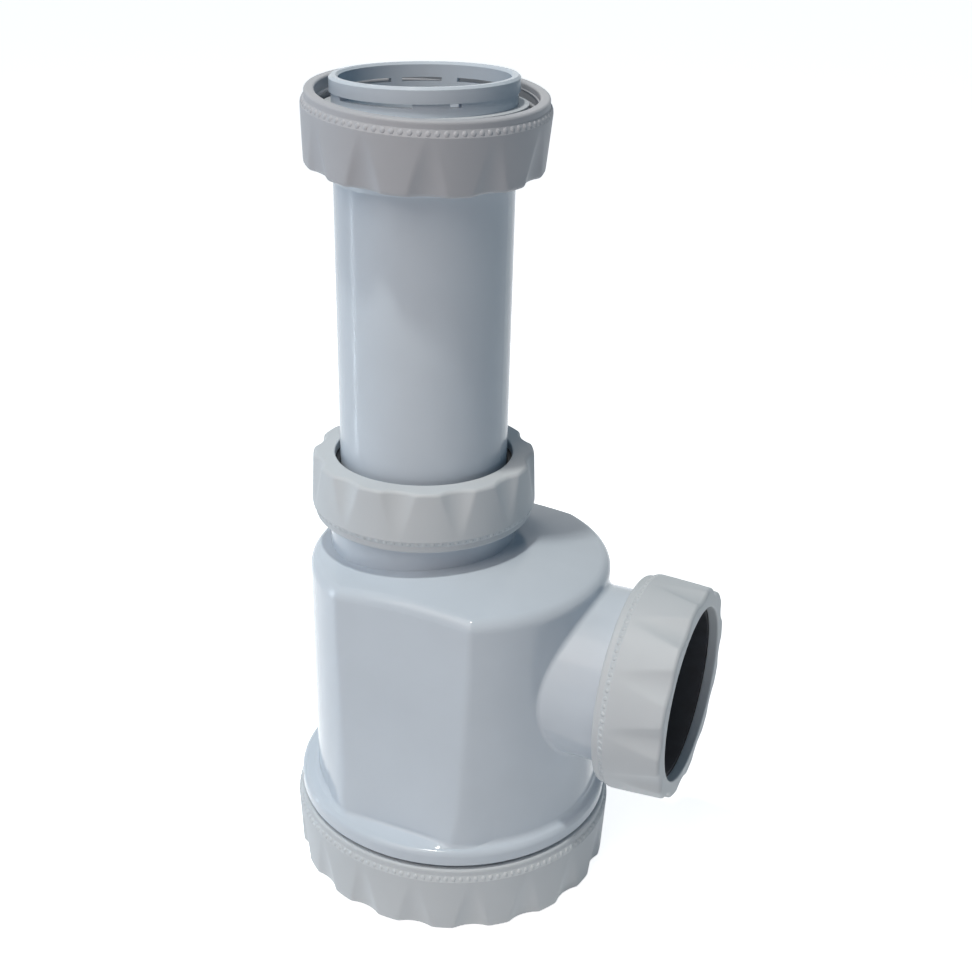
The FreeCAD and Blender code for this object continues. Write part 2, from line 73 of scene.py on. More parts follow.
# Turned pieces: steps of the mesh, roundings of the section, and the rings of grip scallops
# with the angle in degrees at which each one starts.
SCALLOP_COLUMNS = 28
ARC_STEPS = 5
SUPPORT = 0.14 * MM
SIDE_STEP = 0.55 * MM
EDGE_SOFTNESS = 0.3 * MM
TURNED_SHARP = 42
MOUTH_ROUNDING = 0.35 * MM
FOOT_ROUNDING = 0.9 * MM
BAND_ROUNDING = 0.25 * MM
RIM_ROUNDING = 0.6 * MM
LIP_ROUNDING = 0.5 * MM
INNER_ROUNDING = 0.3 * MM
NUT_SCALLOPS = 12
CAP_SCALLOPS = 18
FIRST_SCALLOP = {"inlet": -62.5, "neck": 46.8, "outlet": 3.0, "cap": -58.3}

# Beads: how deep their middles lie under the band, and their thickness, width and length.
BEAD_SUNK = 0.27 * MM
BEAD_STRETCH = (0.64, 0.92, 1.0)
BEAD_SUBDIVISIONS = 2

# Threads: steps of a turn, sides of the ridge, share of the length that tapers and its tip.
THREAD_STEPS = 64
RIDGE_SIDES = 10
THREAD_RUN_OUT = 0.06
THREAD_TIP = 0.15

# The bottle's body as the solids have it, where the skins over its flats meet it.
BODY_X = 1.2 * MM
BODY_RADIUS = 36.7 * MM
FLAT_OUT = 32.4 * MM
FLAT_TOP = 76.0 * MM
FLANGE_TOP = 23.6 * MM
RIM_RADIUS = 38.6 * MM

# Skins over the flats: rows and sections, then how the foot flares, swells, sinks and ends.
SKIN_HEIGHTS = np.concatenate([np.arange(80.0, 30.0, -2.0), np.arange(30.0, 25.0, -0.5)]) * MM
SKIN_HALF_WIDTH = 25 * MM
SKIN_SECTIONS = 101
SKIN_SHARP = 50
SKIN_SUNK = 0.08 * MM
SKIN_BACK = 0.9 * MM
SKIN_ROOT = 0.7 * MM
DRAFT_ABOVE = -0.1
FLARE_TOP = 50 * MM
FLARE_HEIGHT = 26 * MM
SWELL_FADE = (15 * MM, 25 * MM)
SINK_FADE = (17.5 * MM, 20.5 * MM)
LEDGE_FADE = (14 * MM, 24 * MM)
CREST_SOFTNESS = 0.5 * MM
RIM_SOFTNESS = 0.4 * MM
RIM_GAP = 0.6 * MM
RIM_INSIDE = 0.3 * MM
LEDGE_SUNK = 0.1 * MM
LEDGE_END_SUNK = 0.04 * MM
LEDGE_ROUNDING = 0.8 * MM
LEDGE_ROUNDING_SHARE = 0.6
LEDGE_STEPS = 5

# Surfaces of the plastics and the rubber.
FLOW_SCALE = 45.0
FLOW_SHADES = (0.965, 1.02)
HANDLING_SCALE = 160.0
RIPPLE_SCALE = 70.0
RIPPLE_HEIGHT = 2.5
SKIN_RELIEF = 0.02 * MM
PLASTIC_IOR = 1.49
MATT_FADE = 1.5 * MM
MATT_SHINE = 0.02
BLOOM_SCALE = 220.0
BLOOM_SHADE = 2.2
RUBBER_ROUGHNESS = (0.42, 0.62)
RUBBER_GRAIN = 3200.0
RUBBER_BUMP = 0.3
RUBBER_RELIEF = 0.03 * MM

# Studio.
FLOOR_HALF = 3.0
FLOOR_DROP = 0.2 * MM
FLOOR_LIFT = 0.85
FLOOR_MOTTLE = 9.0
FLOOR_SHADE = 0.99
FLOOR_ROUGHNESS = 0.9
WORLD_TINT = (0.38, 0.72, 1.0, 1.0)
WORLD_STRENGTH = 0.135
WHITE = (1.0, 1.0, 1.0, 1.0)
FOOT = (0.0, 0.0, 0.03)
CAMERA_PLACE = (0.1218, -0.2667, 0.2361)
CAMERA_DOWN = 27.05
CAMERA_ROUND = 26.45
CAMERA_LENS = 49.56
CAMERA_SHIFT = (0.0713, 0.0608)
SENSOR_WIDTH = 36.0


class Plastic(NamedTuple):
    """Look of a moulded plastic; above matt_above, where it is given, the gloss fades out."""

    colour: str
    rough_low: float
    rough_high: float
    bump: float
    grain: float
    shine: float
    matt_above: float | None = None


class Grip(NamedTuple):
    """Ring of grip scallops round a nut or the cap."""

    outer: float
    height: float
    count: int
    first: float


class Thread(NamedTuple):
    """Screw thread that runs from low to high along its axis."""

    body: str
    radius: float
    pitch: str
    low: float
    high: float
    ridge: float


class Lamp(NamedTuple):
    """Soft oblong lamp that shines from its place at its target."""

    place: tuple
    target: tuple
    width: float
    height: float
    power: float
    tint: tuple


PLASTICS = {
    "gloss_plastic": Plastic("body", 0.12, 0.19, 0.2, 1500.0, 0.3),
    "tube_plastic": Plastic("body", 0.17, 0.23, 0.2, 1500.0, 0.22, 188.0 * MM),
    "satin_plastic": Plastic("nut", 0.42, 0.56, 0.5, 2600.0, 0.3),
    # The union nut's plastic is the satin plastic of the other nuts in a darker colour: painted
    # shade for the weaker light at the top of the trap.
    "union_plastic": Plastic("union_nut", 0.42, 0.56, 0.5, 2600.0, 0.3),
    "washer_plastic": Plastic("washer", 0.4, 0.55, 0.4, 2600.0, 0.3),
}
MATERIAL_OF = {
    "bottle": "gloss_plastic",
    "inlet_tube": "tube_plastic",
    "neck_nut": "satin_plastic",
    "outlet_nut": "satin_plastic",
    "base_cap": "satin_plastic",
    "inlet_nut": "union_plastic",
    "inlet_washer": "washer_plastic",
    "neck_seal": "black_rubber",
    "outlet_seal": "black_rubber",
    "base_seal": "black_rubber",
}
THREADS = {
    "neck_thread": Thread("bottle", 23.0 * MM, "thread_pitch", 96.9 * MM, 103.8 * MM, 0.9 * MM),
    "outlet_thread": Thread("bottle", 21.8 * MM, "thread_pitch", 46.8 * MM, 55.3 * MM, 0.8 * MM),
    "skirt_thread": Thread("bottle", 37.2 * MM, "skirt_pitch", 7.0 * MM, 17.4 * MM, 1.0 * MM),
    "union_thread": Thread("inlet_nut", 24.15 * MM, "union_pitch", 4.2 * MM, 14.0 * MM, 0.6 * MM),
}
LAMPS = {
    "window": Lamp((-0.55, -0.25, 0.45), FOOT, 0.40, 0.40, 0.32, (0.15, 0.60, 1.0)),
    "front": Lamp((-0.15, -0.60, 0.80), FOOT, 0.60, 0.60, 3.10, (1.0, 0.89, 0.80)),
    "fill": Lamp((0.0, -0.75, 0.35), FOOT, 0.50, 0.50, 0.40, (1.0, 0.52, 0.38)),
    "bulb": Lamp((-0.05, -0.22, 1.0), FOOT, 0.045, 0.045, 3.6, (1.0, 0.985, 0.93)),
    "strip": Lamp(
        (-0.22, -0.061, 0.085), (-0.009, 0.0, 0.085), 0.006, 0.17, 0.06, (0.80, 0.91, 1.0)),
}


def length(name, text, default):
    """Length property shown in scene units."""
    return bpy.props.FloatProperty(
        name=name, description=text, default=default, unit="LENGTH", precision=5)


def colour(name, text, default):
    """Colour property."""
    return bpy.props.FloatVectorProperty(
        name=name, description=text, default=default, subtype="COLOR", size=3, min=0.0, max=1.0)


class DrainTrapSizes(bpy.types.PropertyGroup):
    """Sizes of the nuts, the cap, the beads, the flats and the threads."""

    inlet_radius: length("Inlet nut radius", "Outside radius at the bead band", 27.0 * MM)
    inlet_height: length("Inlet nut height", "From the closed end to the rim", 15.4 * MM)
    inlet_thread: length("Inlet nut thread", "Radius of the threaded wall", 23.95 * MM)
    inlet_web: length("Inlet nut web", "Thickness of the closed end", 3.0 * MM)
    inlet_mouth: length("Inlet nut mouth", "Radius of the hole for the tube", 20.25 * MM)
    neck_radius: length("Neck nut radius", "Outside radius at the bead band", 27.1 * MM)
    neck_height: length("Neck nut height", "From the closed end to the rim", 14.9 * MM)
    neck_thread: length("Neck nut thread", "Radius of the threaded wall", 24.05 * MM)
    neck_web: length("Neck nut web", "Thickness of the closed end", 2.4 * MM)
    neck_mouth: length("Neck nut mouth", "Radius of the hole for the tube", 21.3 * MM)
    outlet_radius: length("Outlet nut radius", "Outside radius at the bead band", 26.2 * MM)
    outlet_height: length("Outlet nut height", "From the closed end to the rim", 16.2 * MM)
    outlet_thread: length("Outlet nut thread", "Radius of the threaded wall", 22.75 * MM)
    outlet_web: length("Outlet nut web", "Thickness of the closed end", 2.4 * MM)
    outlet_mouth: length("Outlet nut mouth", "Radius of the hole for the pipe", 21.1 * MM)
    cap_radius: length("Cap radius", "Outside radius at the bead band", 41.2 * MM)
    cap_height: length("Cap height", "From the underside to the rim", 18.5 * MM)
    cap_thread: length("Cap thread", "Radius of the threaded wall", 38.35 * MM)
    cap_web: length("Cap floor", "Thickness of the closed floor", 3.2 * MM)
    grip_draft: length("Grip draft", "How much narrower the closed end is", 0.6 * MM)
    grip_depth: length("Grip depth", "Depth of a scallop at the closed end", 1.3 * MM)
    grip_wide: length("Scallop wide radius", "Radius of a scallop at the closed end", 9.5 * MM)
    grip_narrow: length("Scallop narrow radius", "Radius of a scallop where it ends", 4.5 * MM)
    grip_margin: length("Scallop margin", "Plain height between scallops and rim", 3.6 * MM)
    band_low: length("Band foot", "From the rim down to the foot of the bead band", 3.1 * MM)
    band_high: length("Band top", "From the rim down to the top of the bead band", 1.6 * MM)
    band_inset: length("Rim inset", "How far the rim stands back from the side", 0.75 * MM)
    bead_radius: length("Bead radius", "Half the length of one bead", 0.78 * MM)
    bead_pitch: length("Bead pitch", "Distance from bead to bead", 1.83 * MM)
    flat_draft: length("Flat draft", "How much further out a flat stands at its foot", 0.9 * MM)
    flat_flare: length("Flat flare", "How far a flat's foot curves out as well", 1.6 * MM)
    foot_swell: length("Foot swell", "How much the body swells beside a flat's foot", 1.3 * MM)
    ledge_rise: length("Ledge rise", "Height of the sloping ledge at a flat's foot", 0.9 * MM)
    thread_pitch: length("Thread pitch", "Pitch of the neck and outlet threads", 3.0 * MM)
    skirt_pitch: length("Skirt pitch", "Pitch of the skirt's thread", 4.0 * MM)
    union_pitch: length("Union pitch", "Pitch of the union nut's inner thread", 2.309 * MM)


class DrainTrapColours(bpy.types.PropertyGroup):
    """Colours of the plastics, the rubber and the floor."""

    body: colour("Body", "Glossy bluish white of the bottle and the tube", (0.60, 0.672, 0.745))
    nut: colour("Nuts", "Satin white of the nuts and the cap", (0.595, 0.635, 0.665))
    # Union nut colour: the nuts' satin white darkened, as painted shade for the weaker light at
    # the top of the trap.
    union_nut: colour("Union nut", "Greyer white of the union nut", (0.455, 0.472, 0.505))
    washer: colour("Washer", "Pale flat washer", (0.56, 0.60, 0.63))
    rubber: colour("Rubber", "Black seals", (0.010, 0.012, 0.016))
    floor: colour("Floor", "Pale floor", (0.93, 0.935, 0.94))


def new_material(name):
    """Node material with its shader, the nodes and links to build on, and Object coordinates."""
    material = bpy.data.materials.new(name)
    material.use_nodes = True
    nodes = material.node_tree.nodes
    place = nodes.new("ShaderNodeTexCoord").outputs["Object"]
    return material, nodes, material.node_tree.links, nodes["Principled BSDF"], place


def noise(nodes, links, vector, scale, detail, roughness=0.5):
    """Noise texture read at a vector."""
    texture = nodes.new("ShaderNodeTexNoise")
    texture.inputs["Scale"].default_value = scale
    texture.inputs["Detail"].default_value = detail
    texture.inputs["Roughness"].default_value = roughness
    links.new(vector, texture.inputs["Vector"])
    return texture.outputs["Fac"]


def ramp(nodes, links, factor, low, high, first, last):
    """Two-stop colour ramp."""
    stops = nodes.new("ShaderNodeValToRGB")
    for stop, position, tint in zip(stops.color_ramp.elements, (low, high), (first, last)):
        stop.position = position
        stop.color = (*tint, 1.0)
    links.new(factor, stops.inputs["Fac"])
    return stops.outputs["Color"]


def mapped(nodes, links, value, from_low, from_high, low, high):
    """Value of one range mapped onto another."""
    ranges = nodes.new("ShaderNodeMapRange")
    ranges.inputs["From Min"].default_value = from_low
    ranges.inputs["From Max"].default_value = from_high
    ranges.inputs["To Min"].default_value = low
    ranges.inputs["To Max"].default_value = high
    links.new(value, ranges.inputs["Value"])
    return ranges.outputs["Result"]


def calculated(nodes, links, operation, *terms):
    """Result of a maths node whose terms are sockets or plain numbers."""
    maths = nodes.new("ShaderNodeMath")
    maths.operation = operation
    for socket, term in zip(maths.inputs, terms):
        if isinstance(term, bpy.types.NodeSocket):
            links.new(term, socket)
        else:
            socket.default_value = term
    return maths.outputs["Value"]


def relief(nodes, links, shader, height, strength, distance):
    """Bumps that follow a height."""
    bumps = nodes.new("ShaderNodeBump")
    bumps.inputs["Strength"].default_value = strength
    bumps.inputs["Distance"].default_value = distance
    links.new(height, bumps.inputs["Height"])
    links.new(bumps.outputs["Normal"], shader.inputs["Normal"])


def shade(values, factor):
    """Colour scaled by a factor."""
    return tuple(min(1.0, value * factor) for value in values)


def plastic_material(name, colours):
    """Moulded plastic: faint flow marks in the colour, uneven gloss and a fine skin."""
    look = PLASTICS[name]
    base = tuple(getattr(colours, look.colour))
    material, nodes, links, shader, place = new_material(name)
    flow = noise(nodes, links, place, FLOW_SCALE, 3.0)
    dark, pale = (shade(base, factor) for factor in FLOW_SHADES)
    tint = ramp(nodes, links, flow, 0.3, 0.7, dark, pale)
    links.new(tint, shader.inputs["Base Color"])
    handling = noise(nodes, links, place, HANDLING_SCALE, 4.0, 0.6)
    roughness = mapped(nodes, links, handling, 0.0, 1.0, look.rough_low, look.rough_high)
    links.new(roughness, shader.inputs["Roughness"])
    skin = noise(nodes, links, place, look.grain, 2.0)
    ripple = noise(nodes, links, place, RIPPLE_SCALE, 1.0, 0.4)
    height = calculated(nodes, links, "MULTIPLY_ADD", ripple, RIPPLE_HEIGHT, skin)
    relief(nodes, links, shader, height, look.bump, SKIN_RELIEF)
    shader.inputs["IOR"].default_value = PLASTIC_IOR
    shader.inputs["Specular IOR Level"].default_value = look.shine
    if look.matt_above is not None:
        parts = nodes.new("ShaderNodeSeparateXYZ")
        links.new(place, parts.inputs["Vector"])
        fading = mapped(
            nodes, links, parts.outputs["Z"],
            look.matt_above - MATT_FADE, look.matt_above, look.shine, MATT_SHINE)
        links.new(fading, shader.inputs["Specular IOR Level"])
    return material


def rubber_material(name, colours):
    """Black rubber with a dusty bloom and a soft grain."""
    base = tuple(colours.rubber)
    material, nodes, links, shader, place = new_material(name)
    bloom = noise(nodes, links, place, BLOOM_SCALE, 4.0, 0.6)
    tint = ramp(nodes, links, bloom, 0.35, 0.8, base, shade(base, BLOOM_SHADE))
    links.new(tint, shader.inputs["Base Color"])
    roughness = mapped(nodes, links, bloom, 0.0, 1.0, *RUBBER_ROUGHNESS)
    links.new(roughness, shader.inputs["Roughness"])
    grain = noise(nodes, links, place, RUBBER_GRAIN, 2.0)
    relief(nodes, links, shader, grain, RUBBER_BUMP, RUBBER_RELIEF)
    return material


def finish(name, colours):
    """Shared material of that name, made on first use."""
    if name in bpy.data.materials:
        return bpy.data.materials[name]
    if name in PLASTICS:
        return plastic_material(name, colours)
    return rubber_material(name, colours)


def dress(node, material):
    """Gives a CAD node its material."""
    mesh = frame["nodes"][node].data
    mesh.materials.clear()
    mesh.materials.append(material)


def put(mesh, name, body, material):
    """Links a finished mesh as a piece that rides on a body."""
    mesh.materials.clear()
    mesh.materials.append(material)
    piece = bpy.data.objects.new(name, mesh)
    bpy.context.scene.collection.objects.link(piece)
    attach(piece, body)
    return piece


def finished_mesh(name, work, sharp_degrees):
    """Plain mesh of a bmesh: faces outward, smooth but for its sharp edges."""
    bmesh.ops.recalc_face_normals(work, faces=work.faces)
    mesh = bpy.data.meshes.new(name)
    work.to_mesh(mesh)
    work.free()
    mesh.polygons.foreach_set("use_smooth", [True] * len(mesh.polygons))
    mesh.set_sharp_from_angle(angle=math.radians(sharp_degrees))
    return mesh


def rounded_corner(before, here, after, rounding):
    """Points along the arc that rounds a corner, with a supporting point on each side."""
    here, before, after = Vector(here), Vector(before), Vector(after)
    to_before = (before - here).normalized()
    to_after = (after - here).normalized()
    half = to_before.angle(to_after) / 2
    setback = rounding / math.tan(half)
    centre = here + (to_before + to_after).normalized() * (rounding / math.sin(half))
    start = here + to_before * setback - centre
    end = here + to_after * setback - centre
    points = [here + to_before * (setback + SUPPORT)]
    for step in range(ARC_STEPS + 1):
        spoke = start.lerp(end, step / ARC_STEPS).normalized() * rounding
        points.append(centre + spoke)
    points.append(here + to_after * (setback + SUPPORT))
    return points


def profile_rows(corners):
    """Rows (radius, height, gripped) along (radius, height, rounding, gripped) corners."""
    rows = []
    for index, (radius, height, rounding, gripped) in enumerate(corners):
        points = [Vector((radius, height))]
        if rounding > 0:
            before = corners[index - 1][:2]
            after = corners[(index + 1) % len(corners)][:2]
            points = rounded_corner(before, (radius, height), after, rounding)
        if rows and rows[-1][2] and gripped:
            last = Vector(rows[-1][:2])
            steps = int((points[0] - last).length / SIDE_STEP)
            for step in range(1, steps):
                between = last.lerp(points[0], step / steps)
                rows.append((between.x, between.y, True))
        rows.extend((point.x, point.y, gripped) for point in points)
    return rows


def soft_minimum(first, second, softness):
    """Smaller of two arrays, with the crossing rounded off."""
    mix = np.clip(0.5 + 0.5 * (second - first) / softness, 0.0, 1.0)
    return second * (1 - mix) + first * mix - softness * mix * (1 - mix)


def scallop_depths(angles, heights, grip, sizes):
    """Depth of the grip at each angle and height: cones cut into the side, as on the solids."""
    pitch = 2 * math.pi / grip.count
    away = np.abs((angles - grip.first + pitch / 2) % pitch - pitch / 2)[:, None]
    share = (heights / (grip.height - sizes.grip_margin))[None, :]
    low = grip.outer - sizes.grip_draft - sizes.grip_depth + sizes.grip_wide
    centre = low + (grip.outer + sizes.grip_narrow - low) * share
    radius = sizes.grip_wide + (sizes.grip_narrow - sizes.grip_wide) * share
    under_root = radius ** 2 - (centre * np.sin(away)) ** 2
    meets = (under_root > 0) & (radius > 0)
    groove = centre * np.cos(away) - np.sqrt(np.where(meets, under_root, 0.0))
    groove = np.where(meets, groove, 2 * grip.outer)
    line = (grip.outer - sizes.grip_draft * (1 - heights / grip.height))[None, :] + 0 * away
    return np.maximum(line - soft_minimum(line, groove, EDGE_SOFTNESS), 0.0)


def gripped_mesh(name, corners, closed, grip, sizes):
    """Nut or cap turned about Z from its section, with its ring of grip scallops.

    An open section starts and ends on the axis, each time in one shared point.
    """
    rows = profile_rows(corners)
    row_count = len(rows)
    columns = grip.count * SCALLOP_COLUMNS
    angles = np.arange(columns) * 2 * math.pi / columns
    outline, heights, gripped = (np.array(values) for values in zip(*rows))
    depths = scallop_depths(angles, heights, grip, sizes)
    radii = outline[None, :] - np.where(gripped[None, :], depths, 0.0)
    work = bmesh.new()
    grid = []
    poles = {}
    for column in range(columns):
        line = []
        for row in range(row_count):
            if not closed and row in (0, row_count - 1):
                if row not in poles:
                    poles[row] = work.verts.new((0.0, 0.0, heights[row]))
                line.append(poles[row])
                continue
            radius = radii[column, row]
            across = radius * math.cos(angles[column])
            along = radius * math.sin(angles[column])
            line.append(work.verts.new((across, along, heights[row])))
        grid.append(line)
    for column in range(columns):
        here, beside = grid[column], grid[(column + 1) % columns]
        for row in range(row_count if closed else row_count - 1):
            above = (row + 1) % row_count
            around = [here[row], beside[row], beside[above], here[above]]
            work.faces.new(dict.fromkeys(around))
    return finished_mesh(name, work, TURNED_SHARP)


def nut_corners(outer, height, thread, mouth, web, sizes):
    """Section of an open nut: closed end at height 0, bead band under the rim at the top."""
    foot = outer - sizes.grip_draft
    rim = outer - sizes.band_inset
    return [
        (mouth, 0.0, MOUTH_ROUNDING, False),
        (foot, 0.0, FOOT_ROUNDING, True),
        (outer, height - sizes.band_low, BAND_ROUNDING, True),
        (rim, height - sizes.band_high, BAND_ROUNDING, False),
        (rim, height, RIM_ROUNDING, False),
        (thread, height, LIP_ROUNDING, False),
        (thread, web, INNER_ROUNDING, False),
        (mouth, web, INNER_ROUNDING, False),
    ]


def cap_corners(outer, height, thread, web, sizes):
    """Section of the cap from the middle of its underside to the middle of its floor."""
    open_nut = nut_corners(outer, height, thread, 0.0, web, sizes)
    return [(0.0, 0.0, 0.0, False), *open_nut[1:-1], (0.0, web, 0.0, False)]


def new_tree(name, sockets):
    """Geometry Nodes tree with its named inputs and one geometry output."""
    tree = bpy.data.node_groups.new(name, "GeometryNodeTree")
    for label, kind in sockets:
        tree.interface.new_socket(name=label, in_out="INPUT", socket_type="NodeSocket" + kind)
    tree.interface.new_socket(
        name="Geometry", in_out="OUTPUT", socket_type="NodeSocketGeometry")
    return tree, tree.nodes, tree.links, tree.nodes.new("NodeGroupInput").outputs


def end_tree(nodes, links, geometry, plastic):
    """Links real geometry in its plastic as the result of a tree."""
    real = nodes.new("GeometryNodeRealizeInstances")
    coat = nodes.new("GeometryNodeSetMaterial")
    result = nodes.new("NodeGroupOutput")
    links.new(geometry, real.inputs["Geometry"])
    links.new(real.outputs["Geometry"], coat.inputs["Geometry"])
    links.new(plastic, coat.inputs["Material"])
    links.new(coat.outputs["Geometry"], result.inputs["Geometry"])


def ring_tree():
    """Geometry Nodes tree that sets beads round a ring."""
    tree, nodes, links, given = new_tree("bead_ring", (
        ("Ring radius", "Float"),
        ("Bead count", "Int"),
        ("Bead radius", "Float"),
        ("Height", "Float"),
        ("Bead stretch", "Vector"),
        ("Bead lean", "Float"),
        ("Plastic", "Material"),
    ))
    circle = nodes.new("GeometryNodeMeshCircle")
    links.new(given["Ring radius"], circle.inputs["Radius"])
    links.new(given["Bead count"], circle.inputs["Vertices"])
    bead = nodes.new("GeometryNodeMeshIcoSphere")
    bead.inputs["Subdivisions"].default_value = BEAD_SUBDIVISIONS
    links.new(given["Bead radius"], bead.inputs["Radius"])
    smooth = nodes.new("GeometryNodeSetShadeSmooth")
    links.new(bead.outputs["Mesh"], smooth.inputs["Geometry"])
    tilt = nodes.new("ShaderNodeCombineXYZ")
    links.new(calculated(nodes, links, "MULTIPLY", given["Bead lean"], -1.0), tilt.inputs["Y"])
    leaned = nodes.new("GeometryNodeTransform")
    links.new(smooth.outputs["Geometry"], leaned.inputs["Geometry"])
    links.new(given["Bead stretch"], leaned.inputs["Scale"])
    links.new(tilt.outputs["Vector"], leaned.inputs["Rotation"])
    facing = nodes.new("FunctionNodeAlignRotationToVector")
    facing.axis = "X"
    outward = nodes.new("GeometryNodeInputPosition")
    links.new(outward.outputs["Position"], facing.inputs["Vector"])
    spread_out = nodes.new("GeometryNodeInstanceOnPoints")
    links.new(circle.outputs["Mesh"], spread_out.inputs["Points"])
    links.new(leaned.outputs["Geometry"], spread_out.inputs["Instance"])
    links.new(facing.outputs["Rotation"], spread_out.inputs["Rotation"])
    lift = nodes.new("ShaderNodeCombineXYZ")
    links.new(given["Height"], lift.inputs["Z"])
    raised = nodes.new("GeometryNodeTransform")
    links.new(lift.outputs["Vector"], raised.inputs["Translation"])
    links.new(spread_out.outputs["Instances"], raised.inputs["Geometry"])
    end_tree(nodes, links, raised.outputs["Geometry"], given["Plastic"])
    return tree


def thread_tree():
    """Geometry Nodes tree that winds a rounded screw thread about Z."""
    tree, nodes, links, given = new_tree("screw_thread", (
        ("Radius", "Float"),
        ("Pitch", "Float"),
        ("Turns", "Float"),
        ("Ridge radius", "Float"),
        ("Plastic", "Material"),
    ))
    spiral = nodes.new("GeometryNodeCurveSpiral")
    spiral.inputs["Resolution"].default_value = THREAD_STEPS
    spiral.inputs["Reverse"].default_value = True
    climb = calculated(nodes, links, "MULTIPLY", given["Pitch"], given["Turns"])
    links.new(climb, spiral.inputs["Height"])
    links.new(given["Turns"], spiral.inputs["Rotations"])
    links.new(given["Radius"], spiral.inputs["Start Radius"])
    links.new(given["Radius"], spiral.inputs["End Radius"])
    upright = nodes.new("GeometryNodeSetCurveNormal")
    upright.mode = "Z_UP"
    links.new(spiral.outputs["Curve"], upright.inputs["Curve"])
    along = nodes.new("GeometryNodeSplineParameter").outputs["Factor"]
    from_end = calculated(nodes, links, "SUBTRACT", 1.0, along)
    nearer = calculated(nodes, links, "MINIMUM", along, from_end)
    taper = mapped(nodes, links, nearer, 0.0, THREAD_RUN_OUT, THREAD_TIP, 1.0)
    ridge = nodes.new("GeometryNodeCurvePrimitiveCircle")
    ridge.inputs["Resolution"].default_value = RIDGE_SIDES
    links.new(given["Ridge radius"], ridge.inputs["Radius"])
    sweep = nodes.new("GeometryNodeCurveToMesh")
    sweep.inputs["Fill Caps"].default_value = True
    links.new(upright.outputs["Curve"], sweep.inputs["Curve"])
    links.new(ridge.outputs["Curve"], sweep.inputs["Profile Curve"])
    links.new(taper, sweep.inputs["Scale"])
    smooth = nodes.new("GeometryNodeSetShadeSmooth")
    links.new(sweep.outputs["Mesh"], smooth.inputs["Geometry"])
    end_tree(nodes, links, smooth.outputs["Geometry"], given["Plastic"])
    return tree


def grown(name, tree_name, inputs):
    """Plain mesh that a Geometry Nodes tree makes from named inputs."""
    make_tree = {"bead_ring": ring_tree, "screw_thread": thread_tree}[tree_name]
    tree = bpy.data.node_groups.get(tree_name) or make_tree()
    carrier = bpy.data.objects.new(name + "_carrier", bpy.data.meshes.new(name + "_carrier"))
    bpy.context.scene.collection.objects.link(carrier)
    modifier = carrier.modifiers.new("grow", "NODES")
    modifier.node_group = tree
    for item in tree.interface.items_tree:
        if item.in_out == "INPUT":
            modifier[item.identifier] = inputs[item.name]
    depsgraph = bpy.context.evaluated_depsgraph_get()
    mesh = bpy.data.meshes.new_from_object(carrier.evaluated_get(depsgraph), depsgraph=depsgraph)
    mesh.name = name
    carrier.modifiers.remove(modifier)
    bpy.data.objects.remove(carrier)
    if not mesh.polygons:
        raise RuntimeError(f"{name} came out empty")
    return mesh


def bead_band(name, outer, height, sizes, material):
    """Row of beads let into the sloping band under a rim."""
    slope = math.atan2(sizes.band_inset, sizes.band_low - sizes.band_high)
    ring = outer - sizes.band_inset / 2 - BEAD_SUNK * math.cos(slope)
    return grown(name, "bead_ring", {
        "Ring radius": ring,
        "Bead count": round(2 * math.pi * ring / sizes.bead_pitch),
        "Bead radius": sizes.bead_radius,
        "Height": height - (sizes.band_low + sizes.band_high) / 2 - BEAD_SUNK * math.sin(slope),
        "Bead stretch": BEAD_STRETCH,
        "Bead lean": slope,
        "Plastic": material,
    })


def leaned_place(web):
    """Place of the inlet nut, which hangs askew: the middle of its web is the joint's anchor."""
    axis = Vector(INLET_NUT_JOINT["axis"]).normalized()
    lean = Vector((0, 0, 1)).rotation_difference(axis).to_matrix().to_4x4()
    anchor = Matrix.Translation(INLET_NUT_JOINT["pos_m"])
    return anchor @ lean @ Matrix.Translation((0, 0, -web / 2))


def fade(values, low, high):
    """1 up to low, 0 from high on, smooth between."""
    share = np.clip((values - low) / (high - low), 0.0, 1.0)
    return 1 - share * share * (3 - 2 * share)


def flat_section(across, sizes):
    """Closed section (out, height) of a flat's skin at a distance from the flat's middle."""
    beside = abs(across)
    heights = SKIN_HEIGHTS
    down = np.clip((FLAT_TOP - heights) / (FLAT_TOP - FLANGE_TOP), DRAFT_ABOVE, 1.0)
    near_foot = np.clip((FLARE_TOP - heights) / FLARE_HEIGHT, 0.0, 1.0) ** 2
    flat = FLAT_OUT + sizes.flat_draft * down + sizes.flat_flare * near_foot
    round_radius = (
        BODY_RADIUS
        + sizes.foot_swell * near_foot * fade(beside, *SWELL_FADE)
        - SKIN_SUNK * (1 - fade(beside, *SINK_FADE)))
    side = np.sqrt(round_radius ** 2 - beside ** 2)
    rim = math.sqrt(RIM_RADIUS ** 2 - (across + BODY_X) ** 2)
    inside_rim = rim - RIM_GAP + 0 * side
    out = soft_minimum(soft_minimum(flat, side, CREST_SOFTNESS), inside_rim, RIM_SOFTNESS)
    foot = out[-1]
    ledge = FLANGE_TOP - LEDGE_SUNK + (sizes.ledge_rise + LEDGE_SUNK) * fade(beside, *LEDGE_FADE)
    end = FLANGE_TOP - LEDGE_END_SUNK
    corner = min(LEDGE_ROUNDING, LEDGE_ROUNDING_SHARE * (rim - foot))
    points = [(out[0] - SKIN_BACK, heights[0])]
    points.extend(zip(out, heights))
    for step in range(ARC_STEPS + 1):
        turn = step / ARC_STEPS * math.pi / 2
        level = ledge + (end - ledge) * corner * (1 - math.cos(turn)) / (rim - foot)
        points.append((
            foot + corner * (1 - math.cos(turn)), level + corner * (1 - math.sin(turn))))
    start = foot + corner
    level = ledge + (end - ledge) * (start - foot) / (rim - foot)
    for step in range(1, LEDGE_STEPS + 1):
        share = step / LEDGE_STEPS
        points.append((start + (rim - start) * share, level + (end - level) * share))
    points.append((rim - RIM_INSIDE, FLANGE_TOP - SKIN_ROOT))
    points.append((out[0] - SKIN_BACK, FLANGE_TOP - SKIN_ROOT))
    return points


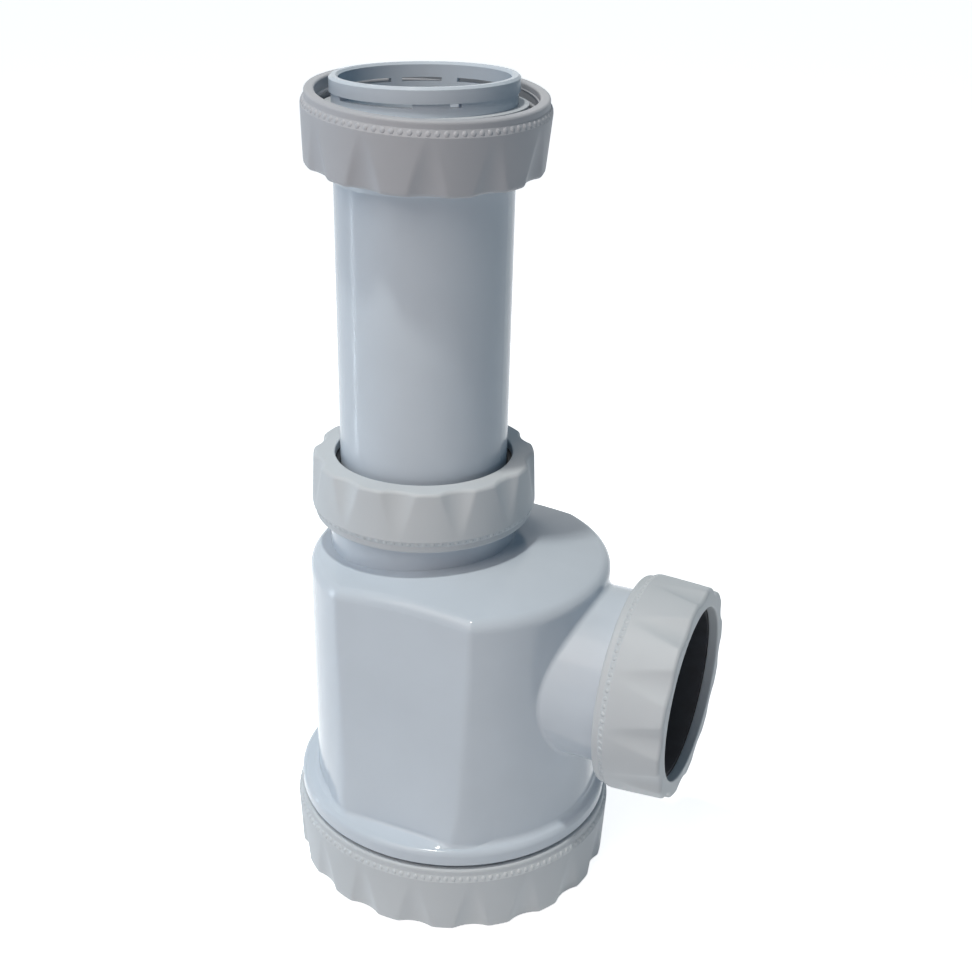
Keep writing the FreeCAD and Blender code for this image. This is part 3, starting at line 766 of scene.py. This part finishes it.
def flat_skin(name, facing, sizes):
    """Skin over one flat of the body, with its draft and its sloping foot."""
    work = bmesh.new()
    sections = []
    for across in np.linspace(-SKIN_HALF_WIDTH, SKIN_HALF_WIDTH, SKIN_SECTIONS):
        sections.append([
            work.verts.new((BODY_X + across, facing * out, height))
            for out, height in flat_section(float(across), sizes)])
    for here, beside in zip(sections, sections[1:]):
        for row in range(len(here)):
            above = (row + 1) % len(here)
            work.faces.new([here[row], beside[row], beside[above], here[above]])
    work.faces.new(sections[0])
    work.faces.new(list(reversed(sections[-1])))
    return finished_mesh(name, work, SKIN_SHARP)


class TRAP_OT_plastics(bpy.types.Operator):
    """Give the bottle, the tube, the washer and the seals their materials"""

    bl_idname = "drain_trap.plastics"
    bl_label = "Plastics and rubber"

    def execute(self, context):
        for node, material_name in MATERIAL_OF.items():
            dress(node, finish(material_name, context.scene.drain_trap_colours))
        return {"FINISHED"}


class TRAP_OT_flats(bpy.types.Operator):
    """Lay the drafted skins over the two flats of the body"""

    bl_idname = "drain_trap.flats"
    bl_label = "Flats"

    def execute(self, context):
        material = finish("gloss_plastic", context.scene.drain_trap_colours)
        for name, facing in (("front_flat", -1.0), ("back_flat", 1.0)):
            mesh = flat_skin(name, facing, context.scene.drain_trap_sizes)
            put(mesh, name, "bottle", material)
        return {"FINISHED"}


class TRAP_OT_nuts(bpy.types.Operator):
    """Build the three nuts with their grip scallops and bead bands"""

    bl_idname = "drain_trap.nuts"
    bl_label = "Nuts"

    def execute(self, context):
        sizes = context.scene.drain_trap_sizes
        places = {
            "inlet": leaned_place(sizes.inlet_web),
            "neck": Matrix.Translation((INLET_X, 0, NECK_NUT_TOP)) @ TURN_OVER,
            "outlet": Matrix.Translation((OUTLET_END, 0, OUTLET_Z)) @ OUTWARDS @ TURN_OVER,
        }
        for which, place in places.items():
            name = f"{which}_nut"
            material = finish(MATERIAL_OF[name], context.scene.drain_trap_colours)
            outer, height, thread, mouth, web = (
                getattr(sizes, f"{which}_{part}")
                for part in ("radius", "height", "thread", "mouth", "web"))
            corners = nut_corners(outer, height, thread, mouth, web, sizes)
            grip = Grip(outer, height, NUT_SCALLOPS, math.radians(FIRST_SCALLOP[which]))
            mesh = gripped_mesh(name + "_shell", corners, True, grip, sizes)
            mesh.transform(place)
            shell = put(mesh, name + "_shell", name, material)
            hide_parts(name)
            beads = bead_band(name + "_beads", outer, height, sizes, material)
            beads.transform(place)
            put(beads, name + "_beads", name, material)
        return {"FINISHED"}


class TRAP_OT_cap(bpy.types.Operator):
    """Build the base cap with its grip scallops and bead band"""

    bl_idname = "drain_trap.cap"
    bl_label = "Base cap"

    def execute(self, context):
        sizes = context.scene.drain_trap_sizes
        outer, height = sizes.cap_radius, sizes.cap_height
        material = finish(MATERIAL_OF["base_cap"], context.scene.drain_trap_colours)
        corners = cap_corners(outer, height, sizes.cap_thread, sizes.cap_web, sizes)
        grip = Grip(outer, height, CAP_SCALLOPS, math.radians(FIRST_SCALLOP["cap"]))
        mesh = gripped_mesh("base_cap_shell", corners, False, grip, sizes)
        shell = put(mesh, "base_cap_shell", "base_cap", material)
        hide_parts("base_cap")
        beads = bead_band("base_cap_beads", outer, height, sizes, material)
        put(beads, "base_cap_beads", "base_cap", material)
        return {"FINISHED"}


class TRAP_OT_threads(bpy.types.Operator):
    """Wind the screw threads of the neck, the outlet, the skirt and the union nut"""

    bl_idname = "drain_trap.threads"
    bl_label = "Threads"

    def execute(self, context):
        sizes = context.scene.drain_trap_sizes
        places = {
            "neck_thread": Matrix.Translation((INLET_X, 0, 0)),
            "outlet_thread": Matrix.Translation((0, 0, OUTLET_Z)) @ OUTWARDS,
            "skirt_thread": Matrix.Identity(4),
            "union_thread": leaned_place(sizes.inlet_web),
        }
        for name, thread in THREADS.items():
            material = finish(MATERIAL_OF[thread.body], context.scene.drain_trap_colours)
            pitch = getattr(sizes, thread.pitch)
            mesh = grown(name, "screw_thread", {
                "Radius": thread.radius,
                "Pitch": pitch,
                "Turns": (thread.high - thread.low) / pitch,
                "Ridge radius": thread.ridge,
                "Plastic": material,
            })
            mesh.transform(places[name] @ Matrix.Translation((0, 0, thread.low)))
            put(mesh, name, thread.body, material)
        return {"FINISHED"}


def seen_directly(nodes, links):
    """1 for rays from the camera and for rays in gloss and in clear material, else 0."""
    paths = nodes.new("ShaderNodeLightPath").outputs
    seen = calculated(
        nodes, links, "MAXIMUM", paths["Is Camera Ray"], paths["Is Glossy Ray"])
    return calculated(nodes, links, "MAXIMUM", seen, paths["Is Transmission Ray"])


def floor_material(base):
    """Pale floor that shows white to the camera away from the shadow."""
    material, nodes, links, shader, place = new_material("pale_floor")
    mottle = noise(nodes, links, place, FLOOR_MOTTLE, 3.0)
    tint = ramp(nodes, links, mottle, 0.3, 0.7, shade(base, FLOOR_SHADE), base)
    links.new(tint, shader.inputs["Base Color"])
    shader.inputs["Roughness"].default_value = FLOOR_ROUGHNESS
    shader.inputs["Emission Color"].default_value = WHITE
    lift = calculated(nodes, links, "MULTIPLY", seen_directly(nodes, links), FLOOR_LIFT)
    links.new(lift, shader.inputs["Emission Strength"])
    return material


def background():
    """World: white to the camera and in reflections, soft pale light on the object."""
    world = bpy.data.worlds.new("studio")
    world.use_nodes = True
    bpy.context.scene.world = world
    nodes, links = world.node_tree.nodes, world.node_tree.links
    light = nodes["Background"]
    light.inputs["Color"].default_value = WORLD_TINT
    light.inputs["Strength"].default_value = WORLD_STRENGTH
    white = nodes.new("ShaderNodeBackground")
    white.inputs["Color"].default_value = WHITE
    pick = nodes.new("ShaderNodeMixShader")
    links.new(seen_directly(nodes, links), pick.inputs["Fac"])
    links.new(light.outputs["Background"], pick.inputs[1])
    links.new(white.outputs["Background"], pick.inputs[2])
    links.new(pick.outputs["Shader"], nodes["World Output"].inputs["Surface"])


def hang(name, lamp):
    """Hangs a lamp, its height upright."""
    data = bpy.data.lights.new(name, "AREA")
    data.shape = "RECTANGLE"
    data.size = lamp.width
    data.size_y = lamp.height
    data.energy = lamp.power
    data.color = lamp.tint
    item = bpy.data.objects.new(name, data)
    item.location = lamp.place
    aim = Vector(lamp.target) - Vector(lamp.place)
    item.rotation_euler = aim.to_track_quat("-Z", "Y").to_euler()
    item.visible_camera = False
    bpy.context.scene.collection.objects.link(item)


class TRAP_OT_studio(bpy.types.Operator):
    """Set the floor, the light and the camera"""

    bl_idname = "drain_trap.studio"
    bl_label = "Studio"

    def execute(self, context):
        scene = context.scene
        scene.view_settings.view_transform = "Standard"
        floor = bpy.data.meshes.new("floor")
        corners = [
            (FLOOR_HALF * x, FLOOR_HALF * y, 0) for x, y in ((-1, -1), (1, -1), (1, 1), (-1, 1))]
        floor.from_pydata(corners, [], [range(4)])
        floor.materials.append(floor_material(tuple(scene.drain_trap_colours.floor)))
        ground = bpy.data.objects.new("floor", floor)
        ground.location.z = -FLOOR_DROP
        scene.collection.objects.link(ground)
        background()
        for name, lamp in LAMPS.items():
            hang(name, lamp)
        data = bpy.data.cameras.new("camera")
        data.lens = CAMERA_LENS
        data.sensor_width = SENSOR_WIDTH
        data.shift_x, data.shift_y = CAMERA_SHIFT
        eye = bpy.data.objects.new("camera", data)
        eye.location = CAMERA_PLACE
        eye.rotation_euler = (math.radians(90 - CAMERA_DOWN), 0.0, math.radians(CAMERA_ROUND))
        scene.collection.objects.link(eye)
        scene.camera = eye
        return {"FINISHED"}


class TRAP_PT_panel(bpy.types.Panel):
    """Lists the pieces of the drain trap and their sizes and colours"""

    bl_idname = "TRAP_PT_panel"
    bl_label = "Drain trap"
    bl_space_type = "VIEW_3D"
    bl_region_type = "UI"
    bl_category = "Drain Trap"

    def draw(self, context):
        layout = self.layout
        for operator in OPERATORS:
            layout.operator(operator.bl_idname)
        for group in (context.scene.drain_trap_sizes, context.scene.drain_trap_colours):
            for name in group.__annotations__:
                layout.prop(group, name)


OPERATORS = (
    TRAP_OT_plastics, TRAP_OT_flats, TRAP_OT_nuts, TRAP_OT_cap, TRAP_OT_threads, TRAP_OT_studio)
CLASSES = (DrainTrapSizes, DrainTrapColours, *OPERATORS, TRAP_PT_panel)


def register():
    for cls in CLASSES:
        bpy.utils.register_class(cls)
    bpy.types.Scene.drain_trap_sizes = bpy.props.PointerProperty(type=DrainTrapSizes)
    bpy.types.Scene.drain_trap_colours = bpy.props.PointerProperty(type=DrainTrapColours)


def unregister():
    del bpy.types.Scene.drain_trap_colours
    del bpy.types.Scene.drain_trap_sizes
    for cls in reversed(CLASSES):
        bpy.utils.unregister_class(cls)


def main():
    register()
    bpy.ops.drain_trap.plastics()
    bpy.ops.drain_trap.flats()
    bpy.ops.drain_trap.nuts()
    bpy.ops.drain_trap.cap()
    bpy.ops.drain_trap.threads()
    bpy.ops.drain_trap.studio()


if __name__ == "__main__":
    main()
